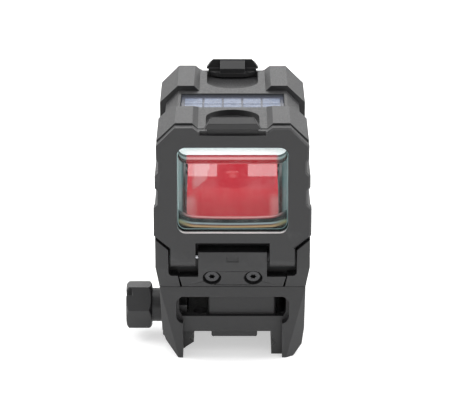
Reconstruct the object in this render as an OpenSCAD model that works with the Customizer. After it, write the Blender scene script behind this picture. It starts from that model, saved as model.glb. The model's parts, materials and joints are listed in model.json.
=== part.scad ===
// Enclosed reflex (red dot) sight for a grooved accessory rail, with a hinged see-through
// cover at each end. Millimetres. +X is the battery tray's far side, -Y the muzzle end, +Z up.
// The origin is the middle of the seat that rests on the rail's top.

/* [Body] */
// Half of the overall length, to the outer faces of the covers
half_l = 29.5; // [29:0.5:32]
// Height of the seam between the housing and the mount
seam_z = 13.4; // [13:0.2:14]
// Height of the flat top between the raised corners
top_z = 55.2; // [54.8:0.2:56]
// Rise of the raised corners above the flat top
horn_rise = 1.4; // [0.8:0.2:1.8]
// Half-length of the narrow waist in the middle of the housing
waist_half_l = 7.4; // [6:0.2:9]

/* [Window and lenses] */
// Half-width of the window opening in a cover
window_half_w = 13.9; // [12:0.1:14]
// Lower edge of the window opening
window_low_z = 28.65; // [28.6:0.05:29.5]
// Upper edge of the window opening
window_top_z = 51.05; // [50:0.05:51.2]
// Corner radius of the window opening
window_r = 2.2; // [1.5:0.1:3]
// Thickness of the front lens, a bonded block that carries the reflector
front_lens_t = 7.6; // [5:0.2:9]
// Thickness of the rear lens
rear_lens_t = 3.2; // [2:0.2:4]

/* [Covers] */
// Thickness of a cover frame
cover_t = 2.6; // [2.2:0.1:2.8]
// Bevel around a cover's outer face
cover_bevel = 0.45; // [0.2:0.05:0.6]
// Thickness of a cover's clear pane
pane_t = 1.1; // [0.8:0.1:1.4]
// Height of the cover's hinge pin
pin_z = 21.7; // [21.5:0.1:22]
// Radius of the hinge pin
pin_r = 0.6; // [0.5:0.05:0.8]
// Radius of the round knuckle on each ear
knuckle_r = 2.5; // [2.2:0.1:2.5]
// Inner face of an ear, from the middle
ear_in_x = 9.3; // [9.2:0.1:10]
// Outer face of an ear, from the middle
ear_out_x = 15.55; // [14:0.05:15.7]

/* [Mount] */
// Half-length of the mount
mount_half_l = 26.4; // [26:0.1:26.6]
// Height of the mount's feet below the rail seat
foot_drop = 5.9; // [5.8:0.1:6.5]
// Half-width of the channel between the two clamping lips
channel_half_w = 9.9; // [9.8:0.05:10.1]
// Thickness of the block between the rail seat and the lightening window
seat_t = 4.5; // [4.5:0.1:5.5]
// Thickness of the plate under the seam
deck_t = 2.8; // [2.4:0.1:3.2]
// Width of a recoil lug, across the rail
lug_w = 11.7; // [8:0.1:14]
// Length of a recoil lug, along the rail
lug_l = 4.9; // [4.5:0.1:5.1]
// Height of a recoil lug
lug_h = 1.6; // [1.2:0.1:2.8]

/* [Clamp] */
// Place of the clamp bolt along the rail
bolt_y = -10; // [-12:0.5:-8]
// Height of the clamp bolt above the rail seat
bolt_z = 2.4; // [2.35:0.05:2.5]
// Radius of the clamp bolt's shank
bolt_r = 2; // [1.6:0.05:2]
// Size across the flats of the bolt's head
bolt_af = 11; // [9:0.5:12]
// Length of the clamping jaw along the rail
jaw_l = 21.8; // [18:0.2:22]

/* [Electronics] */
// Radius of the coin cell
cell_r = 10; // [8:0.5:10]
// Thickness of the coin cell
cell_t = 3.2; // [1.6:0.4:3.2]
// Half-spacing of the two buttons
button_y = 6; // [5:0.5:7]
// Radius of a button
button_r = 3; // [2.5:0.1:3.2]
// Number of solar cells across
cells_x = 5; // [3:1:6]
// Number of solar cells along
cells_y = 2; // [1:1:3]

/* [Hidden] */

$fn = 64;
run_gap = 0.05;
snug_gap = 0.02;
eps = 0.01;

// Housing
horn_z = top_z + horn_rise;
cover_gap = 0.15;
body_half_l = half_l - cover_t - cover_gap;
chin_half_l = half_l - 0.3;
chin_knee_z = 19.6;
chin_low_y = mount_half_l;
chin_top_z = 24.1;
cheek_top_z = 27;
cheek_in_x = 16.1;
side_x = 19.5;
side_low_x = 18.45;
waist_x = 17.3;
recess_low_z = 16.9;
recess_y = 24;
tunnel_half_w = 12.6;
tunnel_r = 1.1;
floor_z = 28.3;
ceiling_z = 51.3;
bay_half_w = 14.5;
bay_half_l = 20;
bay_top_z = 25.5;
slope = atan2(chin_half_l - chin_low_y, chin_knee_z - seam_z);

// Lenses
lens_gap = 0.15;
seal_t = 0.65;
lens_half_w = window_half_w - lens_gap;
lens_low_z = window_low_z + lens_gap;
lens_top_z = window_top_z - lens_gap;
lens_r = window_r - lens_gap;
lens_front_y = -(body_half_l - 0.15);
rear_lens_y = 20.8;

// Covers
pin_y = -27;
pin_half_l = ear_out_x - 0.25;
pane_lip = 1;

// Hinge block
block_half_w = 8.65;
block_top_z = 23.6;
foot_half_w = 13.5;
foot_low_half_w = 12.75;
block_back_y = recess_y + 0.1;
block_gap = 0.3;
hinge_screw_x = 5.2;
hinge_screw_z = 16.2;
spring_pocket_l = 2.6;

// Mount
foot_x = 15.5;
left_foot_x = 13.9;
leg_in_x = 12.6;
pocket_half_w = 14.25;
vent_half_w = 13.6;
relief_y = 23.8;
core_left_x = -6.3;
core_right_x = 11.1;
core_y = 22.4;
core_r = 0.8;
tunnel_top_z = seam_z - deck_t;
lug_y = 20;
lug_x = 0.45;
undercut = 0.3;
land_half_w = 9.4;
mount_screw_x = 8.1;
mount_screw_y = 20;
mount_screw_r = 1.25;
screw_head_r = 1.7;

// Clamp
jaw_x = -17.9;
jaw_back_x = -11.6;
jaw_top_z = 6.4;
jaw_mid_y = bolt_y;
bay_gap = 0.4;
lip_low_z = -5.1;
groove_z = -2.75;
guide_r = 0.9;
guide_dy = 6.2;
head_in_x = -20.9;
head_out_x = -27.5;
bolt_tip_x = 8;

// Electronics
tray_half_w = cell_r + 1;
tray_low_z = 16.8;
tray_rim_z = 20.2;
cell_x = -5.5;
cell_z = tray_low_z + 0.7;
tray_back_x = cell_x + cell_r + 0.8;
plate_half_w = 13;
plate_low_z = 15.4;
plate_top_z = 22;
plate_in_x = -17.35;
board_z = 22.4;
board_t = 1;
board_half_w = 13.8;
board_half_l = 19.3;
standoff_x = 12;
standoff_y = 13;
button_z = 21.5;
button_in_x = 15.2;
pad_in_x = 17.9;
pad_half_l = 12.5;

// Emitter and adjusters
hood_half_w = 3.95;
hood_front_y = 12.5;
hood_back_y = 20;
hood_top_z = 33.4;
hood_wall = 0.9;
apron_front_y = 6.4;
apron_t = 1;
barrel_r = 2.7;
adjust_y = 16.3;
adjust_z = 26.9;
adjust_r = 0.8;
adjust_head_r = 2.6;
adjust_tip_x = 4.65;

// Solar panel
solar_half_w = 13.3;
solar_front_y = -7.8;
solar_back_y = 5;
solar_z = top_z - 1.3;

function flipped(pts) = [for (i = [len(pts) - 1:-1:0]) [-pts[i][0], pts[i][1]]];
function whole(pts) = concat(pts, flipped(pts));

// The right half of each outline, from the top middle clockwise, as [x, z].
rib_outline = [[18.95, 47.9], [18.45, 47.2], [18.45, 44.5], [19.35, 43.6], [19.35, 40.6],
    [18.65, 39.7], [18.65, 36.2], [side_x, 35.3]];
lower_outline = [[side_x, cheek_top_z + 0.6], [side_x - 0.1, chin_knee_z],
    [side_low_x, seam_z]];
collar_outline = concat([[8.6, top_z], [8.6 + horn_rise, horn_z], [14.3, horn_z],
    [18.95, 52.1]], rib_outline, lower_outline);
waist_outline = concat([[14, top_z], [waist_x, top_z - 3.3], [waist_x, 31.2],
    [side_x, 29.2]], lower_outline);
cover_outline = concat([[8.6, top_z - 0.15], [9.9, 56.1], [14.3, 56.1], [19, 51.4]],
    [for (p = rib_outline) [p[0] + (p[0] == side_x ? 0.2 : 0), p[1]]],
    [[side_x + 0.2, 28.1], [ear_out_x, 24.65]]);
mount_outline = [[side_low_x, seam_z], [18.25, 1.5], [17.7, -3], [foot_x, -foot_drop],
    [-left_foot_x, -foot_drop], [-17, -1.7], [jaw_x, 1], [-side_low_x, seam_z]];

// Extrudes a flat shape, drawn as (x, z), from y0 to y1.
module along_y(y0, y1) {
    translate([0, y1, 0]) rotate([90, 0, 0]) linear_extrude(y1 - y0) children();
}

// Extrudes a flat shape, drawn as (y, z), from x0 to x1.
module along_x(x0, x1) {
    translate([x0, 0, 0]) rotate([90, 0, 90]) linear_extrude(x1 - x0) children();
}

module box(low, high) {
    translate(low) cube(high - low);
}

// A shaft or hole along X.
module rod_x(r, x0, x1, y, z) {
    translate([x0, y, z]) rotate([0, 90, 0]) cylinder(h = x1 - x0, r = r);
}

// A rectangle with round corners, drawn from exact circles and squares.
module round_rect(x0, x1, z0, z1, r) {
    translate([x0 + r, z0]) square([x1 - x0 - 2 * r, z1 - z0]);
    translate([x0, z0 + r]) square([x1 - x0, z1 - z0 - 2 * r]);
    for (x = [x0 + r, x1 - r], z = [z0 + r, z1 - r])
        translate([x, z]) circle(r);
}

// The same child on the left and the right.
module both_sides() {
    children();
    mirror([1, 0, 0]) children();
}

// The same child at the front and the rear.
module both_ends() {
    children();
    mirror([0, 1, 0]) children();
}

// A child that is drawn for the front, put at the named end.
module at_end(end) {
    if (end == "front") children();
    else mirror([0, 1, 0]) children();
}

// Cuts a 45 degree bevel along one straight edge of a plate whose outer face is at y.
module edge_cut(a, b, y, size) {
    d = b - a;
    translate([a[0], y, a[1]]) rotate([0, -atan2(d[1], d[0]), 0])
        translate([-size * 0.4, 0, 0]) rotate([45, 0, 0])
            translate([0, -size * sqrt(0.5), -size * sqrt(0.5)])
                cube([norm(d) + size * 0.8, size * sqrt(2), size * sqrt(2)]);
}

// ---------------------------------------------------------------- housing

module housing_shell() {
    intersection() {
        union() {
            along_y(-body_half_l, -waist_half_l) polygon(whole(collar_outline));
            along_y(waist_half_l, body_half_l) polygon(whole(collar_outline));
            along_y(-body_half_l, body_half_l) polygon(whole(waist_outline));
        }
        along_x(-30, 30) polygon(whole([[body_half_l, horn_z + 1], [body_half_l, 14.2],
            [chin_low_y, seam_z]]));
    }
    intersection() {
        along_y(-chin_half_l, chin_half_l) polygon(whole([[cheek_in_x, chin_top_z],
            [side_x - 0.1, cheek_top_z], [side_x - 0.1, chin_knee_z], [side_low_x, seam_z]]));
        along_x(-30, 30) polygon(whole([[chin_half_l, cheek_top_z + 1],
            [chin_half_l, chin_knee_z], [chin_low_y, seam_z]]));
    }
}

// The slope that ends the front pair of raised corners.
module horn_slope() {
    along_x(-30, 30) polygon([[-11.6, horn_z + eps], [-waist_half_l + eps, top_z],
        [-waist_half_l + eps, horn_z + eps]]);
}

module finger_recess(half_w, depth, reach) {
    translate([0, -reach - half_w, top_z - depth]) cylinder(h = 5, r = half_w);
    box([-half_w, -half_l, top_z - depth], [half_w, -reach - half_w, top_z + 5]);
}

module hinge_recess() {
    along_y(-half_l, -recess_y) {
        round_rect(-cheek_in_x, cheek_in_x, recess_low_z, 26.5, 1);
        polygon(whole([[foot_half_w + block_gap, recess_low_z + 1],
            [foot_half_w + block_gap, recess_low_z],
            [foot_low_half_w + block_gap, seam_z - 1]]));
    }
    rod_x(knuckle_r + 0.35, -cheek_in_x, cheek_in_x, pin_y, pin_z);
}

module hinge_screw_axis() {
    y = -chin_half_l + (chin_knee_z - hinge_screw_z) * tan(slope);
    for (x = [-hinge_screw_x, hinge_screw_x])
        translate([x, y, hinge_screw_z]) rotate([-90 + slope, 0, 0]) children();
}

module bay() {
    difference() {
        box([-bay_half_w, -bay_half_l, seam_z - 1], [bay_half_w, bay_half_l, bay_top_z]);
        for (x = [-mount_screw_x, mount_screw_x], y = [-mount_screw_y, mount_screw_y])
            translate([x, y, seam_z - 2]) cylinder(h = 10.4, r = 2.6);
        for (x = [-standoff_x, standoff_x], y = [-standoff_y, standoff_y])
            translate([x, y, board_z + board_t]) cylinder(h = 5, r = 1.6);
    }
}

module adjuster_hole() {
    rod_x(adjust_r + run_gap, adjust_tip_x - 0.5, 25, adjust_y, adjust_z);
    rod_x(1.5, 16.2, 25, adjust_y, adjust_z);
    rod_x(adjust_head_r + 0.15, 17, 25, adjust_y, adjust_z);
}

module housing() {
    color("#2b2c2e") difference() {
        housing_shell();
        horn_slope();
        both_ends() {
            finger_recess(6.7, 1.6, 10);
            hinge_recess();
            hinge_screw_axis() cylinder(h = 8.6, r = 1 + snug_gap);
        }
        // lens seats and the light tunnel between them
        along_y(-half_l, lens_front_y + front_lens_t) seat_shape(0);
        along_y(rear_lens_y, half_l) seat_shape(0);
        along_y(-half_l, half_l)
            round_rect(-tunnel_half_w, tunnel_half_w, floor_z, ceiling_z, tunnel_r);
        bay();
        // emitter opening through the tunnel's floor
        box([-4.4, 13.2, bay_top_z - 1], [4.4, 19.4, floor_z + 1]);
        both_sides() adjuster_hole();
        // solar panel recess
        box([-solar_half_w, solar_front_y, solar_z], [solar_half_w, solar_back_y, horn_z]);
        // battery tray opening, with a wider seat for its plate and seal
        box([-30, -tray_half_w - 0.2, tray_low_z - 0.2],
            [-bay_half_w + 1, tray_half_w + 0.2, cell_z + cell_t + 0.4]);
        box([-30, -plate_half_w - 0.1, plate_low_z - 0.1],
            [plate_in_x + 0.55, plate_half_w + 0.1, plate_top_z + 0.1]);
        // button pad recess and button holes
        box([pad_in_x, -pad_half_l - 0.1, 17.6], [30, pad_half_l + 0.1, 25.4]);
        for (y = [-button_y, button_y])
            rod_x(button_r + run_gap, bay_half_w - 1, 30, y, button_z);
        // threaded holes for the mount screws
        for (x = [-mount_screw_x, mount_screw_x], y = [-mount_screw_y, mount_screw_y])
            translate([x, y, seam_z - 1]) cylinder(h = 8, r = mount_screw_r + snug_gap);
        for (x = [-standoff_x, standoff_x], y = [-standoff_y, standoff_y])
            translate([x, y, board_z]) cylinder(h = 3.2, r = 0.6 + snug_gap);
        // groove for the seam's seal
        difference() {
            box([-16.3, -22.6, seam_z - 1], [16.3, 22.6, seam_z + 0.8]);
            box([-15.5, -21.8, seam_z - 2], [15.5, 21.8, seam_z + 2]);
        }
    }
}

module base_seal() {
    color("#141414") difference() {
        box([-16.3, -22.6, seam_z], [16.3, 22.6, seam_z + 0.8]);
        box([-15.5, -21.8, seam_z - 2], [15.5, 21.8, seam_z + 2]);
    }
}

// ---------------------------------------------------------------- lenses

// The lens seat's outline, made smaller by inset.
module seat_shape(inset) {
    w = lens_half_w + seal_t - inset;
    round_rect(-w, w, lens_low_z - seal_t + inset, lens_top_z + seal_t - inset,
        lens_r + seal_t - inset);
}

module lens_block(y0, y1) {
    along_y(y0, y1) seat_shape(seal_t);
}

module lens_seal(y0, y1) {
    color("#101010") difference() {
        along_y(y0, y1) seat_shape(0);
        along_y(y0 - 1, y1 + 1) seat_shape(seal_t);
    }
}

module front_lens() {
    color("#c9d6d2") lens_block(lens_front_y, lens_front_y + front_lens_t);
}

module rear_lens() {
    color("#c9d6d2") lens_block(rear_lens_y, rear_lens_y + rear_lens_t);
}

module front_lens_seal() {
    lens_seal(lens_front_y + 0.2, lens_front_y + front_lens_t);
}

module rear_lens_seal() {
    lens_seal(rear_lens_y, rear_lens_y + rear_lens_t + 0.2);
}

// Ribbed floor that keeps stray light out of the view.
module anti_glare_plate() {
    y0 = lens_front_y + front_lens_t + 0.3;
    y1 = apron_front_y - 0.3;
    half_w = tunnel_half_w - tunnel_r - 0.1;
    pitch = 1.5;
    color("#1b1b1c") difference() {
        box([-half_w, y0, floor_z], [half_w, y1, floor_z + 0.8]);
        for (y = [y0 + 0.8:pitch:y1 - 1])
            translate([-12, y, floor_z + 0.8]) rotate([45, 0, 0])
                translate([0, -0.28, -0.28]) cube([24, 0.56, 0.56]);
    }
}

// ---------------------------------------------------------------- solar panel

module solar_panel() {
    pitch_x = 2 * 12.5 / cells_x;
    pitch_y = 10.6 / cells_y;
    color("#8f97b4") {
        box([-solar_half_w + 0.1, solar_front_y + 0.1, solar_z],
            [solar_half_w - 0.1, solar_back_y - 0.1, solar_z + 0.4]);
        for (i = [0:cells_x - 1], j = [0:cells_y - 1])
            translate([-12.5 + i * pitch_x + 0.25, solar_front_y + 0.5 + j * pitch_y,
                solar_z + 0.4 - eps]) cube([pitch_x - 0.5, pitch_y - 0.4, 0.15]);
    }
}

module solar_window() {
    color("#a9b3c9") box([-solar_half_w + 0.1, solar_front_y + 0.1, solar_z + 0.6],
        [solar_half_w - 0.1, solar_back_y - 0.1, solar_z + 1]);
}

// ---------------------------------------------------------------- electronics

module circuit_board() {
    color("#2d5a38") difference() {
        box([-board_half_w, -board_half_l, board_z],
            [board_half_w, board_half_l, board_z + board_t]);
        for (x = [-standoff_x, standoff_x], y = [-standoff_y, standoff_y])
            translate([x, y, board_z - 1]) cylinder(h = 4, r = 0.7);
    }
}

module board_screws() {
    color("#b8b8b8")
        for (x = [-standoff_x, standoff_x], y = [-standoff_y, standoff_y])
            translate([x, y, board_z - 0.6]) {
                cylinder(h = 0.6, r = 1.1);
                cylinder(h = 3.4, r = 0.6);
            }
}

module battery_contact() {
    touch_z = cell_z + cell_t + 0.05;
    color("#c9b26a") along_y(-2, 2) polygon([[3, board_z], [3, board_z - 0.3],
        [-1, touch_z], [-4, touch_z], [-4, touch_z + 0.25], [-1.1, touch_z + 0.25],
        [2.2, board_z]]);
}

module button_switches() {
    color("#9a9a9a") for (y = [-button_y, button_y]) {
        box([12, y - 1.6, board_z - 1.8], [13.9, y + 1.6, board_z]);
        rod_x(0.8, 13.8, 14.4, y, button_z);
    }
}

module button_pad() {
    color("#1c1c1c") difference() {
        box([pad_in_x, -pad_half_l, 17.7], [pad_in_x + 0.8, pad_half_l, 25.3]);
        for (y = [-button_y, button_y])
            rod_x(button_r + 0.2, pad_in_x - 1, 30, y, button_z);
    }
}

module button(y) {
    color("#262626") {
        rod_x(button_r, button_in_x, side_x - 0.5, y, button_z);
        rod_x(button_r - 0.4, side_x - 0.6, side_x, y, button_z);
    }
}

module plus_button() {
    button(-button_y);
}

module minus_button() {
    button(button_y);
}

module coin_cell() {
    color("#c4c7ca") translate([cell_x, 0, cell_z]) {
        cylinder(h = cell_t - 0.5, r = cell_r);
        cylinder(h = cell_t, r = cell_r - 0.9);
    }
}

module battery_tray() {
    color("#27282a") difference() {
        union() {
            box([plate_in_x - 0.2, -tray_half_w, tray_low_z],
                [tray_back_x, tray_half_w, tray_rim_z]);
            intersection() {
                box([-30, -plate_half_w, plate_low_z], [plate_in_x, plate_half_w, plate_top_z]);
                along_y(-30, 30) polygon(whole(lower_outline));
            }
        }
        translate([cell_x, 0, cell_z]) cylinder(h = 9, r = cell_r + 0.1);
        // finger groove along the plate
        translate([-side_x - 1.3, 0, plate_low_z + 1.6]) rotate([90, 0, 0])
            cylinder(h = 12, r = 1.9, center = true);
    }
}

module tray_seal() {
    x0 = plate_in_x + 0.05;
    color("#141414") difference() {
        box([x0, -plate_half_w, plate_low_z], [x0 + 0.5, plate_half_w, plate_top_z]);
        box([x0 - 1, -tray_half_w - 0.3, tray_low_z - 0.3],
            [x0 + 1, tray_half_w + 0.3, cell_z + cell_t + 0.5]);
    }
}

// ---------------------------------------------------------------- emitter and adjusters

// An open-fronted hood over the emitter, with a round-nosed apron and a low half-round step.
module emitter_hood() {
    inner = hood_half_w - hood_wall;
    color("#202022") {
        difference() {
            along_y(hood_front_y, hood_back_y)
                polygon(whole([[hood_half_w - 0.5, hood_top_z], [hood_half_w, hood_top_z - 0.5],
                    [hood_half_w, floor_z]]));
            box([-inner, hood_front_y - 1, floor_z - 1], [inner, 19.3, hood_top_z - hood_wall]);
        }
        translate([0, 0, floor_z]) linear_extrude(apron_t) difference() {
            round_rect(-hood_half_w, hood_half_w, apron_front_y, hood_front_y + 2.6, 2.6);
            translate([-5, hood_front_y]) square([10, 5]);
        }
        difference() {
            translate([0, apron_front_y + 0.5 + barrel_r, floor_z])
                cylinder(h = apron_t + 0.7, r = barrel_r);
            box([-5, hood_front_y, floor_z], [5, hood_front_y + 5, floor_z + 5]);
        }
    }
}

module emitter_carriage() {
    color("#8d8f92") difference() {
        box([-3.9, 13.5, bay_top_z + 0.4], [3.9, 19.1, floor_z - 0.1]);
        translate([0, adjust_y, bay_top_z - 1]) cylinder(h = 5, r = 1 + run_gap);
    }
}

module emitter_block() {
    color("#b48a3c") {
        box([-2.4, 14, floor_z + 0.4], [2.4, 18.6, floor_z + 2.4]);
        translate([0, adjust_y, bay_top_z + 0.8]) cylinder(h = 3, r = 1);
    }
}

module emitter_led() {
    color("#e8c9c4") translate([0, 14, floor_z + 1.4]) rotate([90, 0, 0])
        cylinder(h = 1.1, r = 0.85);
}

module adjuster_screw() {
    difference() {
        union() {
            rod_x(adjust_r, adjust_tip_x, 17.3, adjust_y, adjust_z);
            rod_x(adjust_head_r, 17.1, 18.8, adjust_y, adjust_z);
        }
        translate([18.4, adjust_y - 0.4, adjust_z - 5]) cube([1, 0.8, 10]);
    }
}

module adjuster_seal() {
    color("#141414") difference() {
        rod_x(1.5, 16.2, 17, adjust_y, adjust_z);
        rod_x(adjust_r + run_gap, 16, 18, adjust_y, adjust_z);
    }
}

module windage_screw() {
    color("#3a3b3d") adjuster_screw();
}

module elevation_screw() {
    color("#3a3b3d") mirror([1, 0, 0]) adjuster_screw();
}

module windage_seal() {
    adjuster_seal();
}

module elevation_seal() {
    mirror([1, 0, 0]) adjuster_seal();
}

// ---------------------------------------------------------------- mount

// Cuts the leg's outer front edge to a facet that widens from nothing at the seam.
module leg_facet() {
    at = [side_low_x, -mount_half_l, seam_z];
    side_a = [13.65, -mount_half_l, -foot_drop] - at;
    side_b = [foot_x, -25, -foot_drop] - at;
    n = cross(side_a, side_b);
    yaw = atan2(n[1], n[0]);
    pitch = -atan2(n[2], norm([n[0], n[1]]));
    translate(at) rotate([0, pitch, yaw]) translate([0, -25, -30]) cube([20, 50, 60]);
}

// The shallow front relief: the lightening window above, the legs' gap below.
module front_relief() {
    along_y(-half_l, -relief_y) {
        round_rect(-pocket_half_w, pocket_half_w, 3.4, tunnel_top_z, 2);
        translate([-leg_in_x, -foot_drop - 1]) square([2 * leg_in_x, 13]);
    }
}

// Cuts the core's front back to core_y and rounds its two upright edges.
module core_end() {
    difference() {
        box([-13, -half_l, seat_t], [13, -core_y + core_r, tunnel_top_z]);
        box([core_left_x + core_r, -core_y, seat_t - 1],
            [core_right_x - core_r, 0, tunnel_top_z + 1]);
        for (x = [core_left_x + core_r, core_right_x - core_r])
            translate([x, -core_y + core_r, seat_t - 1]) cylinder(h = 10, r = core_r);
    }
}

module mount_screw_places() {
    for (x = [-mount_screw_x, mount_screw_x], y = [-mount_screw_y, mount_screw_y])
        translate([x, y, tunnel_top_z]) children();
}

module recoil_lugs() {
    for (y = [-lug_y, lug_y])
        along_y(y - lug_l / 2, y + lug_l / 2)
            round_rect(lug_x - lug_w / 2, lug_x + lug_w / 2, -lug_h, 1, 0.5);
}

module jaw_bay() {
    box([-30, jaw_mid_y - jaw_l / 2 - bay_gap, -foot_drop - 1],
        [jaw_back_x + 0.2, jaw_mid_y + jaw_l / 2 + bay_gap, jaw_top_z + bay_gap]);
}

module mount_base() {
    color("#2b2c2e") difference() {
        union() {
            difference() {
                along_y(-mount_half_l, mount_half_l) polygon(mount_outline);
                both_ends() both_sides() leg_facet();
                both_ends() front_relief();
                // lightening windows from end to end, on each side of a solid core
                along_y(-half_l, half_l) difference() {
                    round_rect(-vent_half_w, vent_half_w, seat_t, tunnel_top_z, 1.7);
                    translate([core_left_x, 0])
                        square([core_right_x - core_left_x, tunnel_top_z + 1]);
                }
                both_ends() core_end();
                // rail channel, with the fixed lip's groove on the right
                box([-leg_in_x, -half_l, -foot_drop - 1], [channel_half_w, half_l, 0]);
                // undercut round the seat, so that only a raised land in its middle touches
                both_ends() box([-leg_in_x, -half_l, -1],
                    [channel_half_w, -lug_y + lug_l / 2 + 0.9, undercut]);
                box([-leg_in_x, -half_l, -1], [-land_half_w, half_l, undercut]);
                box([land_half_w, -half_l, -1], [channel_half_w, half_l, undercut]);
                along_y(-half_l, half_l) polygon([[channel_half_w - eps, -1.2],
                    [channel_half_w + 1.05, groove_z + 0.3], [channel_half_w + 1.05, groove_z],
                    [channel_half_w - eps, -3.75]]);
            }
            recoil_lugs();
        }
        jaw_bay();
        rod_x(bolt_r + run_gap, -30, bolt_tip_x + 1, bolt_y, bolt_z);
        for (y = [-guide_dy, guide_dy]) {
            rod_x(guide_r + snug_gap, -15, -3, jaw_mid_y + y, bolt_z);
            rod_x(1.75, -15, -8.4, jaw_mid_y + y, bolt_z);
        }
        mount_screw_places() {
            translate([0, 0, -20]) cylinder(h = 21.6, r = screw_head_r + 0.1);
            cylinder(h = 9, r = mount_screw_r + 0.1);
        }
    }
}

module mount_screws() {
    color("#3c3d40") mount_screw_places() difference() {
        union() {
            translate([0, 0, 0.1]) cylinder(h = 1.5, r = screw_head_r);
            translate([0, 0, 1.5]) cylinder(h = 7, r = mount_screw_r);
        }
        translate([0, 0, -1]) cylinder(h = 1.9, r = 0.9, $fn = 6);
    }
}

// ---------------------------------------------------------------- clamp

module clamp_jaw() {
    half = jaw_l / 2;
    color("#2b2c2e") difference() {
        along_y(jaw_mid_y - half, jaw_mid_y + half) polygon([[jaw_x, jaw_top_z],
            [jaw_x, -1.7], [-14.2, -5.6], [-12.4, -5.6], [-11.9, lip_low_z],
            [-channel_half_w, -3.75], [-channel_half_w - 1.05, groove_z],
            [-channel_half_w - 1.05, groove_z + 0.3], [-channel_half_w, -1.2],
            [-channel_half_w, -0.9], [-channel_half_w - 0.6, -0.3], [jaw_back_x, -0.3],
            [jaw_back_x, jaw_top_z]]);
        rod_x(bolt_r + run_gap, -30, 0, bolt_y, bolt_z);
        rod_x(4.55, -30, jaw_x + 0.6, bolt_y, bolt_z);
        for (y = [-guide_dy, guide_dy]) {
            rod_x(guide_r + run_gap, -16.4, 0, jaw_mid_y + y, bolt_z);
            rod_x(1.75, -14.2, 0, jaw_mid_y + y, bolt_z);
        }
    }
}

module clamp_guide_pins() {
    color("#a9abad") for (y = [-guide_dy, guide_dy])
        rod_x(guide_r, -15.6, -3.1, jaw_mid_y + y, bolt_z);
}

module clamp_springs() {
    color("#9fa1a4") for (y = [-guide_dy, guide_dy]) difference() {
        rod_x(1.6, -14, -8.5, jaw_mid_y + y, bolt_z);
        rod_x(1.15, -20, 0, jaw_mid_y + y, bolt_z);
    }
}

// Hexagonal head with bevelled ends, a coin slot, a plain collar and a threaded shank.
module clamp_bolt() {
    corner_r = bolt_af / 2 / cos(30);
    bevel = 1;
    color("#3a3b3e") translate([0, bolt_y, bolt_z]) rotate([0, -90, 0]) difference() {
        union() {
            intersection() {
                translate([0, 0, -head_in_x]) rotate([0, 0, 35])
                    cylinder(h = head_in_x - head_out_x, r = corner_r, $fn = 6);
                rotate_extrude() polygon([[0, -head_in_x], [corner_r - bevel, -head_in_x],
                    [corner_r + 0.1, -head_in_x + bevel * 0.7],
                    [corner_r + 0.1, -head_out_x - bevel * 0.7],
                    [corner_r - bevel, -head_out_x], [0, -head_out_x]]);
            }
            translate([0, 0, -jaw_x - 0.5]) cylinder(h = -head_in_x + jaw_x + 0.6, r = 4.35);
            translate([0, 0, -bolt_tip_x]) cylinder(h = -head_in_x + bolt_tip_x, r = bolt_r);
        }
        rotate([0, 0, -36]) translate([-10, -0.8, -head_out_x - 1.5]) cube([20, 1.6, 5]);
    }
}

// ---------------------------------------------------------------- covers

module cover_frame() {
    pts = whole(cover_outline);
    n = len(pts);
    pane_w = window_half_w + pane_lip;
    color("#2f3032") difference() {
        union() {
            along_y(-half_l, -half_l + cover_t) polygon(pts);
            both_sides() {
                rod_x(knuckle_r, ear_in_x, ear_out_x, pin_y, pin_z);
                box([ear_in_x, -half_l, pin_z], [ear_out_x, -half_l + cover_t, 26.5]);
            }
        }
        box([-ear_in_x, -half_l - 1, 20], [ear_in_x, -half_l + cover_t + 1, 26.1]);
        for (i = [0:n - 1])
            if (i != len(cover_outline) - 1)
                edge_cut(pts[i], pts[(i + 1) % n], -half_l, cover_bevel);
        along_y(-half_l - 1, 0) round_rect(-window_half_w, window_half_w,
            window_low_z, window_top_z, window_r);
        // step under the latch's pull bar
        box([-8.2, -half_l - 1, 54.1], [8.2, -half_l + 1.1, top_z + 3]);
        along_y(-half_l + cover_t - pane_t - 0.1, 0) round_rect(-pane_w, pane_w,
            window_low_z - pane_lip, window_top_z + pane_lip, window_r + pane_lip);
        both_sides() rod_x(pin_r + run_gap, ear_in_x - 1, 20, pin_y, pin_z);
        // seat of the latch tab
        box([-6.4, -half_l + 1.1, top_z - 1.4], [6.4, 0, top_z + 3]);
    }
}

module cover_pane() {
    w = window_half_w + pane_lip - 0.05;
    back = -half_l + cover_t - 0.05;
    color("#dfe8e6") along_y(back - pane_t, back) round_rect(-w, w,
        window_low_z - pane_lip + 0.05, window_top_z + pane_lip - 0.05,
        window_r + pane_lip - 0.05);
}

// The part of the latch that reaches into the housing's finger recess.
module latch_nose() {
    translate([0, 0, 54]) linear_extrude(1.1)
        polygon([[-6.4, -half_l + 1.6], [6.4, -half_l + 1.6], [6.4, -27.2], [3.3, -25],
            [-3.3, -25], [-6.4, -27.2]]);
}

// A pull bar over a recessed web, with a nose and a sloping block behind it.
module latch_tab() {
    bar_y = -half_l + 2.1;
    color("#2f3032") {
        difference() {
            along_y(-half_l, bar_y) polygon(whole([[5.25, 58.4], [6.95, 55.9], [6.8, 55.7]]));
            translate([0, -half_l, 57.2]) rotate([30, 0, 0])
                translate([-10, -3, 0]) cube([20, 6, 3]);
        }
        box([-6.4, -half_l + 1.1, top_z - 1.4], [6.4, -half_l + cover_t, 56]);
        latch_nose();
        along_x(-3.3, 3.3) polygon([[bar_y - 0.2, 54.5], [bar_y - 0.2, 58.1],
            [bar_y + 0.4, 58.1], [-25.2, 56.3], [-25.2, 54.5]]);
    }
}

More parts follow.
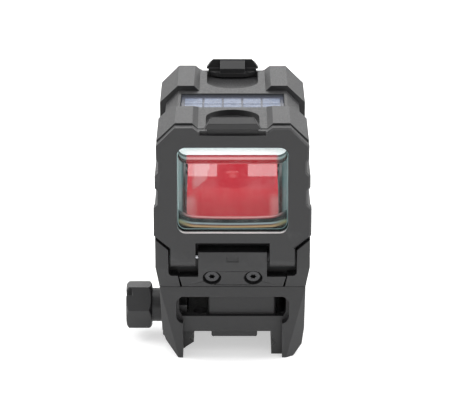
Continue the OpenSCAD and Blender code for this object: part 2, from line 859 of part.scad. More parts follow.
module hinge_block() {
    color("#2c2d2f") difference() {
        intersection() {
            along_y(-chin_half_l, -block_back_y) polygon(whole([[block_half_w, block_top_z],
                [block_half_w, recess_low_z - block_gap], [foot_half_w, recess_low_z - block_gap],
                [foot_low_half_w, seam_z]]));
            along_x(-30, 30) polygon([[-chin_half_l, block_top_z + 1],
                [-chin_half_l, chin_knee_z], [-chin_low_y, seam_z], [0, seam_z],
                [0, block_top_z + 1]]);
        }
        rod_x(pin_r + snug_gap, -20, 20, pin_y, pin_z);
        both_sides() rod_x(1.7, block_half_w - spring_pocket_l, 20, pin_y, pin_z);
        // shallow plain panel on the front
        box([-1.45, -half_l, 21], [1.45, -chin_half_l + 0.25, 22.3]);
        hinge_screw_axis() {
            translate([0, 0, -2]) cylinder(h = 3.7, r = 2.3);
            cylinder(h = 12, r = 1.1);
        }
    }
}

// Round-headed screws with a six-lobed socket.
module hinge_screws() {
    color("#3a3b3d") hinge_screw_axis() difference() {
        union() {
            translate([0, 0, 0.55]) cylinder(h = 1.15, r = 1.7);
            translate([0, 0, 1.5]) cylinder(h = 6.8, r = 1);
        }
        translate([0, 0, -0.5]) {
            cylinder(h = 1.8, r = 0.62);
            for (a = [0:60:300]) rotate([0, 0, a]) translate([0.62, 0, 0])
                cylinder(h = 1.8, r = 0.2, $fn = 24);
        }
    }
}

module hinge_pin() {
    color("#d0d2d4") rod_x(pin_r, -pin_half_l, pin_half_l, pin_y, pin_z);
}

module hinge_springs() {
    color("#9fa1a4") both_sides() difference() {
        rod_x(1.5, block_half_w - spring_pocket_l + 0.1, block_half_w - 0.1, pin_y, pin_z);
        rod_x(0.95, 0, 20, pin_y, pin_z);
    }
}

housing();
mount_base();
mount_screws();
base_seal();
clamp_jaw();
clamp_bolt();
clamp_springs();
clamp_guide_pins();
front_lens();
rear_lens();
front_lens_seal();
rear_lens_seal();
anti_glare_plate();
solar_panel();
solar_window();
circuit_board();
board_screws();
battery_contact();
button_switches();
emitter_hood();
emitter_carriage();
emitter_block();
emitter_led();
windage_screw();
windage_seal();
elevation_screw();
elevation_seal();
battery_tray();
coin_cell();
tray_seal();
button_pad();
plus_button();
minus_button();
at_end("front") cover_frame();  // front_cover_frame
at_end("front") cover_pane();  // front_cover_pane
at_end("front") latch_tab();  // front_latch_tab
at_end("front") hinge_block();  // front_hinge_block
at_end("front") hinge_screws();  // front_hinge_screws
at_end("front") hinge_pin();  // front_hinge_pin
at_end("front") hinge_springs();  // front_hinge_springs
at_end("rear") cover_frame();  // rear_cover_frame
at_end("rear") cover_pane();  // rear_cover_pane
at_end("rear") latch_tab();  // rear_latch_tab
at_end("rear") hinge_block();  // rear_hinge_block
at_end("rear") hinge_screws();  // rear_hinge_screws
at_end("rear") hinge_pin();  // rear_hinge_pin
at_end("rear") hinge_springs();  // rear_hinge_springs
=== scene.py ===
"""The look of an enclosed reflex sight: materials, fine detail, light and camera."""
import json
import math

import bpy
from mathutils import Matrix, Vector


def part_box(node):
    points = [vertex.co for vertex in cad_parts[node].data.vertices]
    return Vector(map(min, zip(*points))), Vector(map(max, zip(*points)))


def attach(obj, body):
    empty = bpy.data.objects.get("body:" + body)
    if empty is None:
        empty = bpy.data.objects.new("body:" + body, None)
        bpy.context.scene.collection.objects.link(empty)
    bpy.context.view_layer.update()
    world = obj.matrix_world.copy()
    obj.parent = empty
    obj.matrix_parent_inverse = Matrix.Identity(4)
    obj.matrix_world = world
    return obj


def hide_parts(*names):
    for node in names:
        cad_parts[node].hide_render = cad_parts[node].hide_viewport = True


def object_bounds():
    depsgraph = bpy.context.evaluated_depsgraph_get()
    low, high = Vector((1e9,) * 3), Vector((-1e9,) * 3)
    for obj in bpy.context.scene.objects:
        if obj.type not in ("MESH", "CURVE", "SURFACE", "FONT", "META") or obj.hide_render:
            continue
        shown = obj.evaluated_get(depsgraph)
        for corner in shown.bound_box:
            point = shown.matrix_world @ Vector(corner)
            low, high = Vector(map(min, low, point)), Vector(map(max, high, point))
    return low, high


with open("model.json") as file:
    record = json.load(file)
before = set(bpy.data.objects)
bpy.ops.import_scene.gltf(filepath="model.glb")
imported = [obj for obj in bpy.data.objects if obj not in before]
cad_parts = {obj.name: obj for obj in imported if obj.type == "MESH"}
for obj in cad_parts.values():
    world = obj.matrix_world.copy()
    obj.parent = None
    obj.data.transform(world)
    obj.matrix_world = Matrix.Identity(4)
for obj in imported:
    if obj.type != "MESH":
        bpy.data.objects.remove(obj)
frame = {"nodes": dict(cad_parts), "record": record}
cad_low, cad_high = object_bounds()
nodes = frame["nodes"]
slots = {s["node"]: s["material_slot"] for s in frame["record"]["subparts"]}
body_of_node = {
    n: b for b, ns in frame["record"]["behaviour"]["bodies"].items() for n in ns
}
MM = 0.001
scene = bpy.context.scene


def linear(*rgb):
    """8-bit screen colour as linear light."""
    out = []
    for c in rgb:
        c /= 255
        out.append(c / 12.92 if c <= 0.04045 else ((c + 0.055) / 1.055) ** 2.4)
    return (*out, 1.0)


# ------------------------------------------------------------------ camera and light

cam = bpy.data.objects.new("camera", bpy.data.cameras.new("camera"))
scene.collection.objects.link(cam)
cam.location = (-0.00065, -0.60608, 0.22832)
cam.rotation_euler = (math.radians(71.5), 0, 0)
cam.data.sensor_width = 36
cam.data.lens = 191.35
cam.data.clip_start, cam.data.clip_end = 0.05, 20
scene.camera = cam

scene.view_settings.view_transform = "Standard"
scene.view_settings.look = "None"


def softbox(name, place, target, size, power):
    lamp = bpy.data.lights.new(name, "AREA")
    lamp.shape = "RECTANGLE"
    lamp.size, lamp.size_y = size
    lamp.energy = power
    o = bpy.data.objects.new(name, lamp)
    scene.collection.objects.link(o)
    o.location = place
    o.rotation_euler = (Vector(target) - Vector(place)).to_track_quat("-Z", "Y").to_euler()


middle = (0, 0, 0.03)
softbox("top_light", (0, 0.10, 0.75), middle, (0.7, 0.6), 2.6)
softbox("back_light", (0, 0.75, 0.38), middle, (0.9, 0.35), 1.6)
for side_name, side_x in (("left_light", -0.66), ("right_light", 0.66)):
    softbox(side_name, (side_x, 0.12, 0.42), middle, (0.4, 0.5), 4.6)

world = bpy.data.worlds.new("studio")
scene.world = world
world.use_nodes = True
wt = world.node_tree
wt.nodes.clear()
w_out, w_bg, w_coord, w_split, w_up = (
    wt.nodes.new("ShaderNode" + kind)
    for kind in ("OutputWorld", "Background", "TexCoord", "SeparateXYZ", "MapRange"))
for socket, value in (("From Min", 0.0), ("From Max", 1.0), ("To Min", 0.55), ("To Max", 1.0)):
    w_up.inputs[socket].default_value = value
wt.links.new(w_coord.outputs["Generated"], w_split.inputs[0])
wt.links.new(w_split.outputs["Z"], w_up.inputs["Value"])
wt.links.new(w_up.outputs[0], w_bg.inputs["Strength"])
w_bg.inputs["Color"].default_value = (1, 1, 1, 1)
wt.links.new(w_bg.outputs[0], w_out.inputs[0])


# ------------------------------------------------------------------ materials


class Look:
    """A node tree with a Principled shader, and short calls to build it."""

    def __init__(self, name, color, rough=0.5, metal=0.0, **sockets):
        self.mat = bpy.data.materials.new(name)
        self.mat.use_nodes = True
        self.tree = self.mat.node_tree
        self.bsdf = self.tree.nodes["Principled BSDF"]
        self.set(**{"Base Color": color, "Roughness": rough, "Metallic": metal})
        self.set(**sockets)
        self.coord = self.add("ShaderNodeTexCoord").outputs["Object"]

    def set(self, **sockets):
        for k, v in sockets.items():
            self.bsdf.inputs[k].default_value = v

    def add(self, kind, links=None, **values):
        n = self.tree.nodes.new(kind)
        for k, v in values.items():
            if k in n.inputs:
                n.inputs[k].default_value = v
            else:
                setattr(n, k, v)
        for k, v in (links or {}).items():
            self.tree.links.new(v, n.inputs[k])
        return n

    def noise(self, scale, detail=3.0, stretch=(1, 1, 1)):
        m = self.add("ShaderNodeMapping", {"Vector": self.coord}, Scale=stretch)
        return self.add("ShaderNodeTexNoise", {"Vector": m.outputs[0]}, Scale=scale,
                        Detail=detail).outputs["Fac"]

    def span(self, value, low, high, a=0.35, b=0.65):
        n = self.add("ShaderNodeMapRange", {"Value": value})
        for k, v in (("From Min", a), ("From Max", b), ("To Min", low), ("To Max", high)):
            n.inputs[k].default_value = v
        return n.outputs[0]

    def mix(self, fac, a, b, mode="MIX"):
        n = self.add("ShaderNodeMix", data_type="RGBA", blend_type=mode)
        for i, v in ((0, fac), (6, a), (7, b)):
            if isinstance(v, (float, int, tuple)):
                n.inputs[i].default_value = v
            else:
                self.tree.links.new(v, n.inputs[i])
        return n.outputs[2]

    def color(self, socket):
        self.tree.links.new(socket, self.bsdf.inputs["Base Color"])

    def rough(self, socket):
        self.tree.links.new(socket, self.bsdf.inputs["Roughness"])

    def bump(self, height, depth, strength=1.0):
        n = self.add("ShaderNodeBump", {"Height": height}, Distance=depth, Strength=strength)
        self.tree.links.new(n.outputs[0], self.bsdf.inputs["Normal"])


def grained(name, dark, light, rough, grain=2600, depth=0.00001, metal=0.0, wear=None,
            **sockets):
    """A fine grained solid finish: mottled colour, uneven gloss, grain and pale worn edges."""
    look = Look(name, dark, metal=metal, **sockets)
    fine, broad = look.noise(grain, 2), look.noise(90, 2)
    cloud = look.add("ShaderNodeMath", {0: look.span(broad, 0.0, 0.12, 0.3, 0.7),
                                        1: look.span(fine, 0.0, 0.7, 0.3, 0.7)},
                     operation="ADD").outputs[0]
    tone = look.mix(cloud, dark, light)
    if wear:
        edge = look.add("ShaderNodeNewGeometry").outputs["Pointiness"]
        rub = look.add("ShaderNodeMath", {0: look.span(edge, 0, 1, 0.57, 0.66),
                                          1: look.span(look.noise(700), 0.2, 1)},
                       operation="MULTIPLY").outputs[0]
        tone = look.mix(rub, tone, wear)
    look.color(tone)
    look.rough(look.span(fine, rough - 0.06, rough + 0.08))
    look.bump(fine, depth)
    return look.mat


ANODISED = grained("anodised", linear(30, 30, 31), linear(37, 37, 38), 0.46,
                   wear=linear(48, 48, 49), **{"IOR": 1.5})
COVER = grained("anodised_cover", linear(36, 36, 37), linear(42, 42, 43), 0.50,
                wear=linear(52, 52, 53), **{"IOR": 1.5})
STEEL_BLACK = grained("steel_black", linear(33, 33, 34), linear(41, 41, 42), 0.42, grain=3800,
                      metal=0.1, wear=linear(84, 84, 85), **{"IOR": 1.5})
RUBBER = grained("rubber", linear(24, 24, 25), linear(33, 33, 34), 0.78, grain=4200,
                 depth=0.00002)
PLASTIC = grained("plastic", linear(30, 30, 32), linear(40, 40, 42), 0.55, grain=3000,
                  depth=0.000015)
# painted light: the anti-glare plate is drawn near-white with a faint red glow in place of its
# black finish, as the lit tunnel floor
FLOOR_PAINTED_LIGHT = grained("baffle_painted_light", linear(206, 206, 208), linear(234, 234, 236), 0.5,
                      grain=3000, depth=0.00002, **{
                          "Emission Color": (1, 0.2, 0.17, 1), "Emission Strength": 0.25})


def screw_steel(node, axis_y, axis_z, depth):
    """Blackened steel, near-black in the socket below the head's outer face: painted shade."""
    look = Look("screw_steel", linear(58, 58, 60), metal=0.3)
    split = look.add("ShaderNodeSeparateXYZ", {"Vector": look.coord})
    out = look.add("ShaderNodeMath", {0: split.outputs["Y"]}, operation="ABSOLUTE").outputs[0]
    parts = [look.add("ShaderNodeMath", {0: v}, operation="MULTIPLY")
             for v in (out, split.outputs["Z"])]
    for part, by in zip(parts, (axis_y, axis_z)):
        part.inputs[1].default_value = by
    height = look.add("ShaderNodeMath", {0: parts[0].outputs[0], 1: parts[1].outputs[0]},
                      operation="ADD").outputs[0]
    top = max(abs(v.co.y) * axis_y + v.co.z * axis_z for v in nodes[node].data.vertices)
    fine = look.noise(3800, 2)
    tone = look.mix(fine, linear(52, 52, 54), linear(66, 66, 68))
    # painted shade: near-black in the socket, below the head's outer face
    deep = look.span(height, 1, 0, top - depth - 0.04 * MM, top - depth + 0.04 * MM)
    look.color(look.mix(deep, tone, linear(6, 6, 7)))
    look.rough(look.span(fine, 0.36, 0.46))
    look.bump(fine, 0.000005)
    return look.mat


def bright_steel():
    look = Look("steel_bright", linear(190, 192, 196), metal=1.0)
    lines = look.noise(900, 3, (0.05, 1, 1))
    look.color(look.mix(look.span(lines, 0, 1), linear(172, 174, 178), linear(206, 208, 212)))
    look.rough(look.span(lines, 0.2, 0.34))
    look.bump(lines, 0.000004)
    return look.mat


def brass():
    look = Look("brass", linear(196, 160, 92), metal=1.0)
    spots = look.noise(500, 4)
    look.color(look.mix(look.span(spots, 0, 1), linear(176, 138, 70), linear(216, 182, 112)))
    look.rough(look.span(spots, 0.24, 0.4))
    look.bump(look.noise(2600), 0.000004)
    return look.mat


def clear(name, tint, alpha, rough=0.03, **sockets):
    """Clear glass or plastic with faint smears in its gloss."""
    look = Look(name, tint, rough=rough, Alpha=alpha, **sockets)
    look.rough(look.span(look.noise(60, 4), rough, rough + 0.05))
    look.color(look.mix(look.span(look.noise(40, 2), 0, 1), tint,
                        tuple(min(1, c * 1.08) for c in tint[:3]) + (1.0,)))
    return look.mat


def board():
    look = Look("board", linear(34, 84, 52), rough=0.4)
    bricks = look.add("ShaderNodeTexBrick", {"Vector": look.coord}, Scale=260.0)
    look.color(look.mix(bricks.outputs["Fac"], linear(30, 78, 48), linear(56, 118, 74)))
    look.rough(look.span(look.noise(800), 0.3, 0.5))
    look.bump(bricks.outputs["Fac"], 0.00002)
    return look.mat


def solar():
    """Dark backing with violet-blue cells, fine pale contact lines and crystal mottling."""
    look = Look("solar", linear(50, 54, 70), rough=0.35, **{"Coat Weight": 0.1,
                                                        "Coat Roughness": 0.2, "IOR": 1.3})
    split = look.add("ShaderNodeSeparateXYZ", {"Vector": look.coord})
    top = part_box("solar_panel")[1].z
    lifted = look.span(split.outputs["Z"], 0, 1, top - 0.12 * MM, top - 0.06 * MM)
    crystal = look.add("ShaderNodeTexVoronoi", {"Vector": look.coord}, Scale=900.0)
    cell = look.mix(look.span(crystal.outputs["Distance"], 0, 1, 0, 0.8),
                    linear(54, 64, 84), linear(78, 90, 112))
    stripes = look.add("ShaderNodeMath", {0: split.outputs["Y"]}, operation="MULTIPLY")
    stripes.inputs[1].default_value = 1 / (0.9 * MM)
    part = look.add("ShaderNodeMath", {0: stripes.outputs[0]}, operation="FRACT")
    line = look.span(part.outputs[0], 1, 0, 0.06, 0.12)
    cell = look.mix(line, cell, linear(146, 152, 170))
    look.color(look.mix(lifted, linear(38, 40, 52), cell))
    look.rough(look.span(look.noise(1200), 0.3, 0.42))
    return look.mat


def tinted(name, rough=0.3, alpha=1.0, **sockets):
    """Glass whose colour varies over the piece, from the colours stored on its points."""
    look = Look(name, (0.8, 0.8, 0.8, 1), rough=rough, Alpha=alpha, **sockets)
    own = look.add("ShaderNodeVertexColor", layer_name="tint").outputs["Color"]
    look.color(look.mix(look.span(look.noise(300, 3), 0, 0.03), own, (1, 1, 1, 1)))
    look.rough(look.span(look.noise(500), max(0.02, rough - 0.05), rough + 0.05))
    return look.mat


SCREW_TILT = math.radians(24.3)  # of the hinge screws' axis, below level
HINGE_SCREW = screw_steel("front_hinge_screws", math.cos(SCREW_TILT), -math.sin(SCREW_TILT),
                          0.1 * MM)
STEEL_BRIGHT = bright_steel()
BRASS = brass()
PANE = clear("pane", linear(226, 238, 236), 0.012, **{"IOR": 1.16})
GLASS = clear("glass", linear(214, 232, 230), 0.10, **{"IOR": 1.2})
BOARD = board()
SOLAR = solar()
LED = grained("led", linear(226, 196, 190), linear(240, 214, 208), 0.25, grain=1800,
              depth=0.000004, **{"Emission Color": (1, 0.62, 0.6, 1), "Emission Strength": 0.35})
BY_SLOT = {
    "anodised": ANODISED, "steel_black": STEEL_BLACK, "steel_bright": STEEL_BRIGHT,
    "rubber": RUBBER, "glass": GLASS, "pane": PANE, "solar": SOLAR, "board": BOARD,
    "brass": BRASS, "plastic": PLASTIC, "led": LED,
}
BY_NODE = {
    "solar_window": clear("solar_window", linear(200, 208, 226), 0.03, 0.2, **{"IOR": 1.1}),
    "front_cover_frame": COVER, "rear_cover_frame": COVER, "anti_glare_plate": FLOOR_PAINTED_LIGHT,
    "front_hinge_screws": HINGE_SCREW, "rear_hinge_screws": HINGE_SCREW,
}

# ------------------------------------------------------------------ CAD nodes

BEVELS = {  # width in mm
    "housing": 0.1, "mount_base": 0.1, "clamp_jaw": 0.15, "clamp_bolt": 0.15,
    "front_cover_frame": 0.12, "rear_cover_frame": 0.12, "front_hinge_block": 0.15,
    "rear_hinge_block": 0.15, "front_latch_tab": 0.15, "rear_latch_tab": 0.15,
    "battery_tray": 0.15, "emitter_hood": 0.12, "plus_button": 0.2, "minus_button": 0.2,
    "coin_cell": 0.15, "front_hinge_screws": 0.08, "rear_hinge_screws": 0.08,
    "windage_screw": 0.1, "elevation_screw": 0.1, "mount_screws": 0.08, "button_pad": 0.1,
    "solar_window": 0.05,
}
# nodes with short edges beside sharp corners, where an unchecked bevel would throw out spikes
CLAMPED = {"front_hinge_screws", "rear_hinge_screws", "plus_button", "minus_button",
           "front_cover_frame", "rear_cover_frame"}


def finish_node(name, o):
    """Soft machined edges and smooth curved faces on a CAD node, then its material."""
    me = o.data
    if "custom_normal" in me.attributes:
        me.attributes.remove(me.attributes["custom_normal"])
    me.shade_smooth()
    weld = o.modifiers.new("weld", "WELD")
    weld.merge_threshold = 0.000001
    bevel = o.modifiers.new("edges", "BEVEL")
    bevel.width = BEVELS.get(name, 0.06) * MM
    bevel.segments = 2
    bevel.limit_method = "ANGLE"
    bevel.angle_limit = math.radians(32)
    bevel.use_clamp_overlap = name in CLAMPED
    bevel.harden_normals = True
    normal = o.modifiers.new("normals", "WEIGHTED_NORMAL")
    normal.keep_sharp = True
    me.materials.clear()
    me.materials.append(BY_NODE.get(name, BY_SLOT[slots[name]]))


for name, o in nodes.items():
    finish_node(name, o)


# ------------------------------------------------------------------ piece helpers


def piece(name, verts, faces, mat, body, replaces=(), tints=None, smooth=True):
    me = bpy.data.meshes.new(name)
    me.from_pydata([tuple(c * MM for c in v) for v in verts], [], faces)
    me.validate()
    o = bpy.data.objects.new(name, me)
    scene.collection.objects.link(o)
    if tints:
        layer = me.color_attributes.new("tint", "FLOAT_COLOR", "POINT")
        for i, c in enumerate(tints):
            layer.data[i].color = c
    me.materials.append(mat)
    if smooth:
        me.shade_smooth()
    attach(o, body)
    if replaces:
        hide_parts(*replaces)
    return o


def sheet_grid(rows, closed=False):
    """Faces between rows of points; closed joins each row's last point to its first."""
    n = len(rows[0])
    verts = [p for row in rows for p in row]
    faces = []
    for j in range(len(rows) - 1):
        for i in range(n if closed else n - 1):
            a, b = j * n + i, j * n + (i + 1) % n
            faces.append((a, b, b + n, a + n))
    return verts, faces


def thicken(o, depth):
    m = o.modifiers.new("thickness", "SOLIDIFY")
    m.thickness = depth * MM
    m.offset = 0
    return o


def blend_colors(stops, t):
    """Linear colour at t from [(t, (r, g, b))] stops in 8-bit screen colour."""
    for (t0, c0), (t1, c1) in zip(stops, stops[1:]):
        if t <= t1:
            f = 0 if t1 == t0 else max(0, (t - t0) / (t1 - t0))
            return linear(*(a + (b - a) * f for a, b in zip(c0, c1)))
    return linear(*stops[-1][1])


def ramp(x, a, b):
    """0 at a and below, 1 at b and above, with soft ends."""
    t = min(1, max(0, (x - a) / (b - a)))
    return t * t * (3 - 2 * t)


def mixed(a, b, f):
    return tuple(p + (q - p) * f for p, q in zip(a, b))


def outline(x0, x1, z0, z1, r, steps=6):
    """A rectangle with round corners, anticlockwise from the lower right, as (x, z)."""
    pts = []
    for cx, cz, start in ((x1 - r, z0 + r, -90), (x1 - r, z1 - r, 0), (x0 + r, z1 - r, 90),
                          (x0 + r, z0 + r, 180)):
        for k in range(steps + 1):
            a = math.radians(start + 90 * k / steps)
            pts.append((cx + r * math.cos(a), cz + r * math.sin(a)))
    return pts


def tube(name, path, r, mat, body, replaces=(), sides=10):
    """A wire along a path of points in mm, with closed ends."""
    path = [Vector(p) for p in path]
    rows, side = [], None
    for i, p in enumerate(path):
        ahead = (path[min(i + 1, len(path) - 1)] - path[max(i - 1, 0)]).normalized()
        if side is None:
            side = ahead.orthogonal().normalized()
        side = (side - ahead * side.dot(ahead)).normalized()
        up = ahead.cross(side)
        rows.append([p + (side * math.cos(a) + up * math.sin(a)) * r
                     for a in (2 * math.pi * k / sides for k in range(sides))])
    verts, faces = sheet_grid(rows, closed=True)
    faces.append(tuple(range(sides - 1, -1, -1)))
    last = (len(rows) - 1) * sides
    faces.append(tuple(range(last, last + sides)))
    return piece(name, verts, faces, mat, body, replaces)


def coil_path(x0, x1, y, z, r, turns, steps=18):
    """A compression spring along X, with a closed turn at each end."""
    pts, whole_turns = [], turns + 2
    n = int(whole_turns * steps)
    for i in range(n + 1):
        t = whole_turns * i / n
        f = min(1, max(0, (t - 1) / turns))
        pts.append((x0 + (x1 - x0) * f, y + r * math.cos(2 * math.pi * t),
                    z + r * math.sin(2 * math.pi * t)))
    return pts


# ------------------------------------------------------------------ front lens

low, high = (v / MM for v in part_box("front_lens"))
lens_x, lens_y0, lens_y1 = high.x - 0.05, low.y, high.y
lens_z0, lens_z1 = low.z + 0.05, high.z - 0.05

# the polished side walls, seen as grey-green glass; their colours are painted refraction and
# reflection, with a faint painted cyan glow and painted shade on the right-hand wall
rim_stops = [(0, (214, 232, 232)), (0.12, (118, 156, 156)), (0.45, (140, 182, 182)),
             (0.75, (110, 146, 146)), (0.85, (44, 38, 34)), (1, (36, 28, 24))]
rows, tints = [], []
for k in range(13):
    t = k / 12
    inset = 1.2 * t
    pts = outline(-lens_x + inset, lens_x - inset, lens_z0 + 0.1 * t, lens_z1 - 0.1 * t,
                  2.0 - 0.6 * t)
    rows.append([(x, lens_y0 + 0.15 + (lens_y1 - 0.4 - lens_y0) * t, z) for x, z in pts])
    wall = blend_colors(rim_stops, t)
    # painted shade: the right-hand wall is darkened
    tints += [mixed(wall, (0, 0, 0, 1), 0.4 if x > 0 else 0) for x, z in pts]
verts, faces = sheet_grid(rows, closed=True)
RIM = tinted("lens_rim", 0.4, **{
    "IOR": 1.25, "Emission Color": (0.05, 1, 1, 1), "Emission Strength": 0.06})
thicken(piece("front_lens_rim", verts, faces, RIM, "sight", ["front_lens"], tints),
        0.12)

# the red reflecting layer, with its paler lower corners and a soft streak; the corners, the
# brighter side strips, the streak and a faint red glow are all painted light
coat_y = lens_y1 - 0.2
coat_low, coat_high = 29.75, 50.4
deep, vivid, pale = linear(198, 30, 50), linear(232, 34, 58), linear(240, 200, 200)
rows, tints = [], []
for j in range(41):
    z = coat_low + (coat_high - coat_low) * j / 40
    half = 11.65 - 0.4 * ramp(z, coat_low, 45)
    corner = 1.3
    if z < coat_low + corner:
        half -= corner - math.sqrt(max(0, corner ** 2 - (coat_low + corner - z) ** 2))
    row = []
    for i in range(49):
        x = -half + 2 * half * i / 48
        row.append((x, coat_y, z))
        c = deep
        # painted light: brighter red strips along the sides
        c = mixed(c, vivid, ramp(-x, 10.0, 10.6) * ramp(z, 34, 37) * 0.9)
        c = mixed(c, vivid, ramp(x, 10.4, 10.9) * ramp(z, 34, 37) * 0.9)
        # painted light: paler lower corners
        low_part = 1 - ramp(z, 33.6, 36.2)
        c = mixed(c, pale, low_part * (ramp(-x, 8.4, 10.6) + ramp(x, 8.8, 10.6)))
        # painted reflection: a pale streak across the layer
        left = -10.1 + 0.2 * (z > 40)
        right = -10.1 + (z - 36.5) * (3.5 / 2.9) if z < 39.4 else -6.6 + (z - 39.4) * 0.22
        reflection_streak = ramp(x, left - 0.2, left + 0.4) * (1 - ramp(x, right - 0.3, right + 0.1))
        c = mixed(c, pale, 0.55 * reflection_streak * ramp(z, 36.5, 38.5))
        tints.append((*c[:3], 1.0))
    rows.append(row)
verts, faces = sheet_grid(rows)
# the faint red glow is painted light
COATING = tinted("lens_coating", 0.3, 0.72, **{
    "Emission Color": (1.0, 0.02, 0.05, 1), "Emission Strength": 0.3, "IOR": 1.25})
piece("front_lens_coating", verts, faces, COATING, "sight", (), tints)


def bevel_ribbon(name, lines, columns, mat):
    """A ribbon across the lens, coloured with painted light. Each line gives (height(x), y,
    colour(x)), top to bottom.
    """
    rows, tints = [], []
    for height, y, color in lines:
        row = []
        for i in range(columns + 1):
            x = -lens_x + 0.06 + (2 * lens_x - 0.12) * i / columns
            row.append((x, y, height(x)))
            tints.append(color(x))
        rows.append(row)
    verts, faces = sheet_grid(rows)
    return thicken(piece(name, verts, faces, mat, "sight", (), tints), 0.05)


def top_line(z, y, inner, outer):
    """A line of the upper bevel: level in the middle, turning up round the corners."""
    def height(x):
        over = max(0, abs(x) - (lens_x - 2.4)) / 2.4
        return z + 2.3 * (1 - math.sqrt(max(0, 1 - min(1, over) ** 2)))

    def color(x):
        return mixed(linear(*inner), linear(*outer), ramp(abs(x + 0.1), 11.0, 11.5))
    return height, y, color


WHITE = (252, 255, 255)
# painted highlight: the top bevel drawn white, with a faint white glow
bevel_ribbon("front_lens_top_bevel", [
    top_line(50.75, lens_y0 + 2.2, WHITE, WHITE),
    top_line(48.25, lens_y0 + 0.32, WHITE, (238, 255, 255)),
], 56, tinted("lens_bevel", 0.2, 1.0, **{"Emission Color": (1, 1, 1, 1),
                                        "Emission Strength": 0.25}))
edge_y = lens_y0 + 0.3
# painted reflections and refraction: the lines of the upper edge, red in the middle and
# grey-green at the ends
bevel_ribbon("front_lens_top_edge", [
    top_line(48.2, edge_y, (178, 60, 68), (96, 118, 118)),
    top_line(47.75, edge_y, (198, 70, 80), (60, 72, 72)),
    top_line(47.5, edge_y, (226, 160, 162), (150, 172, 172)),
    top_line(47.1, edge_y, (222, 150, 152), (128, 150, 150)),
    top_line(46.9, edge_y, (158, 12, 28), (48, 36, 32)),
    top_line(46.2, edge_y, (152, 4, 20), (40, 30, 26)),
    top_line(45.95, edge_y, (196, 84, 92), (60, 66, 64)),
], 56, tinted("lens_edge", 0.35, **{"IOR": 1.25}))


def low_line(z, lift, mid, end):
    """A line of the lower bevel: a shallow smile whose ends rise by lift."""
    def height(x):
        t = max(0, abs(x) - 9.6) / (lens_x - 9.6)
        return z + 0.35 * lift * (x / lens_x) ** 2 + 0.65 * lift * t ** 1.6

    def color(x):
        return mixed(linear(*mid), linear(*end), ramp(abs(x), 9.5, lens_x - 0.4))
    return height, edge_y, color


# painted reflections and highlights: the pale and dark lines of the lower bevel
bevel_ribbon("front_lens_low_bevel", [
    low_line(32.05, 1.9, (196, 96, 98), (80, 98, 98)),
    low_line(31.8, 1.8, (224, 164, 164), (66, 84, 84)),
    low_line(31.55, 1.6, (150, 70, 72), (44, 58, 58)),
    low_line(31.25, 1.5, (8, 26, 26), (14, 28, 28)),
    low_line(30.75, 1.4, (10, 32, 30), (16, 30, 28)),
    low_line(30.45, 1.4, (16, 20, 18), (34, 44, 36)),
    low_line(30.15, 1.3, (178, 200, 204), (120, 140, 120)),
    low_line(29.95, 1.3, (130, 140, 144), (150, 160, 128)),
    low_line(29.75, 1.3, (96, 56, 48), (168, 170, 128)),
    low_line(29.5, 1.25, (206, 164, 118), (150, 150, 110)),
    low_line(29.2, 1.2, (224, 200, 150), (90, 92, 70)),
    low_line(29.05, 1.0, (60, 52, 40), (40, 40, 34)),
    low_line(28.86, 0.2, (26, 25, 22), (24, 24, 22)),
], 56, tinted("lens_low_bevel", 0.35, **{"IOR": 1.25}))

# ------------------------------------------------------------------ rear lens

low, high = (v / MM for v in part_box("rear_lens"))


def slab(name, x0, x1, y0, y1, z0, z1, r, mat, body, replaces=(), edge=0.15):
    """A flat plate in the XZ plane with round corners and soft edges."""
    pts = outline(x0, x1, z0, z1, r)
    n = len(pts)
    verts = [(x, y0, z) for x, z in pts] + [(x, y1, z) for x, z in pts]
    faces = [tuple(range(n)), tuple(range(2 * n - 1, n - 1, -1))]
    faces += [(i, i + n, (i + 1) % n + n, (i + 1) % n) for i in range(n)]
    o = piece(name, verts, faces, mat, body, replaces)
    b = o.modifiers.new("edges", "BEVEL")
    b.width, b.segments, b.limit_method = edge * MM, 2, "ANGLE"
    b.harden_normals = True
    return o


slab("rear_lens_glass", low.x, high.x, low.y, high.y, low.z, high.z, 2.05,
     clear("rear_glass", linear(216, 232, 230), 0.10), "sight", ["rear_lens"])
# painted glow: frosted bevel strips low on the rear lens, drawn near-white and glowing
FROST_GLOW = Look("frosted_glass_glow", linear(236, 242, 242), rough=0.6,
             **{"Emission Color": (1, 1, 1, 1), "Emission Strength": 0.95})
FROST_GLOW.bump(FROST_GLOW.noise(2500, 2), 0.00001)
FROST_GLOW.color(FROST_GLOW.mix(FROST_GLOW.span(FROST_GLOW.noise(90), 0, 1), linear(226, 236, 236),
                      linear(246, 250, 250)))
face = low.y - 0.04
for side, x0, x1 in (("left", -11.9, -4.15), ("right", 4.15, 11.9)):
    steps = 24
    rows = []
    for z, y in ((31.0, face), (30.85, face - 0.06), (28.5, face - 2.4), (28.38, face - 2.45)):
        rows.append([(x0 + (x1 - x0) * i / steps, y, z) for i in range(steps + 1)])
    verts, faces = sheet_grid(rows)
    thicken(piece(f"rear_lens_frosted_bevel_{side}", verts, faces, FROST_GLOW.mat, "sight"),
            0.06)

# ------------------------------------------------------------------ covers

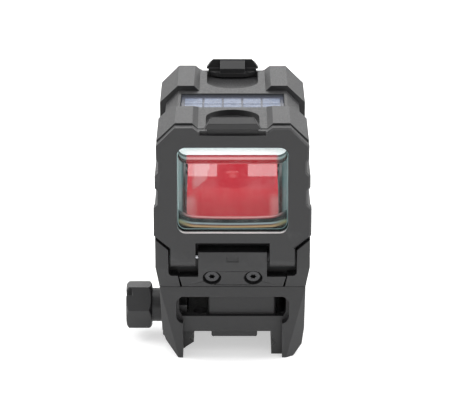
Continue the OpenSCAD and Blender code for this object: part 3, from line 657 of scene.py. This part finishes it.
for end, way in (("front", -1), ("rear", 1)):
    low, high = (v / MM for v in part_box(f"{end}_cover_frame"))
    outer_y = low.y if way < 0 else high.y
    low, high = (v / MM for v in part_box(f"{end}_cover_pane"))
    pane_y = low.y if way < 0 else high.y
    x1, z0, z1 = high.x - 1.0, low.z + 1.0, high.z - 1.0
    rows, tints = [], []
    for y in (outer_y - way * 0.1, pane_y + way * 0.02):
        pts = outline(-x1, x1, z0, z1, 2.15, 8)
        rows.append([(x, y, z) for x, z in pts])
        for x, z in pts:
            # painted highlight: the lining turns near white along its lower edge
            up = 1 - ramp(z, z0 + 0.1, z0 + 0.9)
            tints.append(mixed(linear(128, 140, 140), linear(255, 250, 250), up))
    verts, faces = sheet_grid(rows, closed=True)
    thicken(piece(f"{end}_cover_window_lining", verts, faces,
                  tinted(f"{end}_lining", 0.2), f"{end}_cover", (), tints), 0.05)

    pin_low, pin_high = (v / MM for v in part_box(f"{end}_hinge_pin"))
    py, pz = (pin_low.y + pin_high.y) / 2, (pin_low.z + pin_high.z) / 2
    x0, x1 = -way * 8.68, -way * 9.27
    rings = []
    for x, r in ((x0, 0.64), (x0, 1.45), (x0 - way * 0.06, 1.52), (x1 + way * 0.06, 1.52),
                 (x1, 1.45), (x1, 0.64)):
        rings.append([(x, py + r * math.cos(a), pz + r * math.sin(a))
                      for a in (2 * math.pi * k / 32 for k in range(32))])
    rings.append(rings[0])
    verts, faces = sheet_grid(rings, closed=True)
    piece(f"{end}_hinge_washer", verts, faces, STEEL_BLACK, f"{end}_cover")

# ------------------------------------------------------------------ emitter light bar

bar_y = 12.5
slab("emitter_light_bar", -1.7, 1.7, bar_y - 0.25, bar_y + 0.3, 31.1, 31.7, 0.25, LED,
     "sight", edge=0.08)

# ------------------------------------------------------------------ springs

low, high = (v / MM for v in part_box("clamp_springs"))
spring_z = (low.z + high.z) / 2
wire = 0.22
for i, y in enumerate((low.y + 1.6, high.y - 1.6)):
    tube(f"clamp_spring_{i + 1}", coil_path(low.x + wire, high.x - wire, y, spring_z,
                                            1.6 - wire, 5), wire, STEEL_BRIGHT,
         body_of_node["clamp_springs"], ["clamp_springs"] if i == 0 else ())
for end in ("front", "rear"):
    node = f"{end}_hinge_springs"
    low, high = (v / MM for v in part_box(node))
    y, z = (low.y + high.y) / 2, (low.z + high.z) / 2
    wire = 0.2
    for side, inner in (("right", 1), ("left", -1)):
        x1 = high.x - wire
        x0 = x1 - 2.0
        tube(f"{end}_hinge_spring_{side}",
             coil_path(inner * x0, inner * x1, y, z, 1.5 - wire, 3), wire, STEEL_BRIGHT,
             body_of_node[node], [node] if inner == 1 else ())

# ------------------------------------------------------------------ button marks


def soft_box(name, low, high, mat, body, edge):
    (x0, y0, z0), (x1, y1, z1) = low, high
    verts = [(x, y, z) for x in (x0, x1) for y in (y0, y1) for z in (z0, z1)]
    faces = [(0, 1, 3, 2), (4, 6, 7, 5), (0, 4, 5, 1), (2, 3, 7, 6), (0, 2, 6, 4), (1, 5, 7, 3)]
    o = piece(name, verts, faces, mat, body)
    b = o.modifiers.new("edges", "BEVEL")
    b.width, b.segments = edge * MM, 3
    b.harden_normals = True
    return o


MARK = grained("mark", linear(176, 178, 180), linear(206, 208, 210), 0.5)
for node, upright in (("plus_button", True), ("minus_button", False)):
    low, high = (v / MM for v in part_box(node))
    y, z, x = (low.y + high.y) / 2, (low.z + high.z) / 2, high.x
    body = body_of_node[node]
    soft_box(f"{node}_bar", (x - 0.1, y - 1.2, z - 0.22), (x + 0.1, y + 1.2, z + 0.22), MARK,
             body, 0.08)
    if upright:
        soft_box(f"{node}_upright", (x - 0.1, y - 0.22, z - 1.2), (x + 0.11, y + 0.22, z + 1.2),
                 MARK, body, 0.08)

# ------------------------------------------------------------------ floor

FLOOR_HALF = 3.0
corners = ((-1, -1), (1, -1), (1, 1), (-1, 1))
me = bpy.data.meshes.new("floor")
me.from_pydata([(x * FLOOR_HALF, y * FLOOR_HALF, cad_low.z) for x, y in corners], [],
               [(0, 1, 2, 3)])
ground = bpy.data.objects.new("floor", me)
scene.collection.objects.link(ground)
paper = Look("paper", (0.9, 0.9, 0.9, 1), rough=0.8)
paper.color(paper.mix(paper.span(paper.noise(30), 0, 1), (0.60, 0.60, 0.60, 1),
                      (0.62, 0.62, 0.62, 1)))
paper.set(**{"Emission Color": (1, 1, 1, 1), "Emission Strength": 0.5})
me.materials.append(paper.mat)
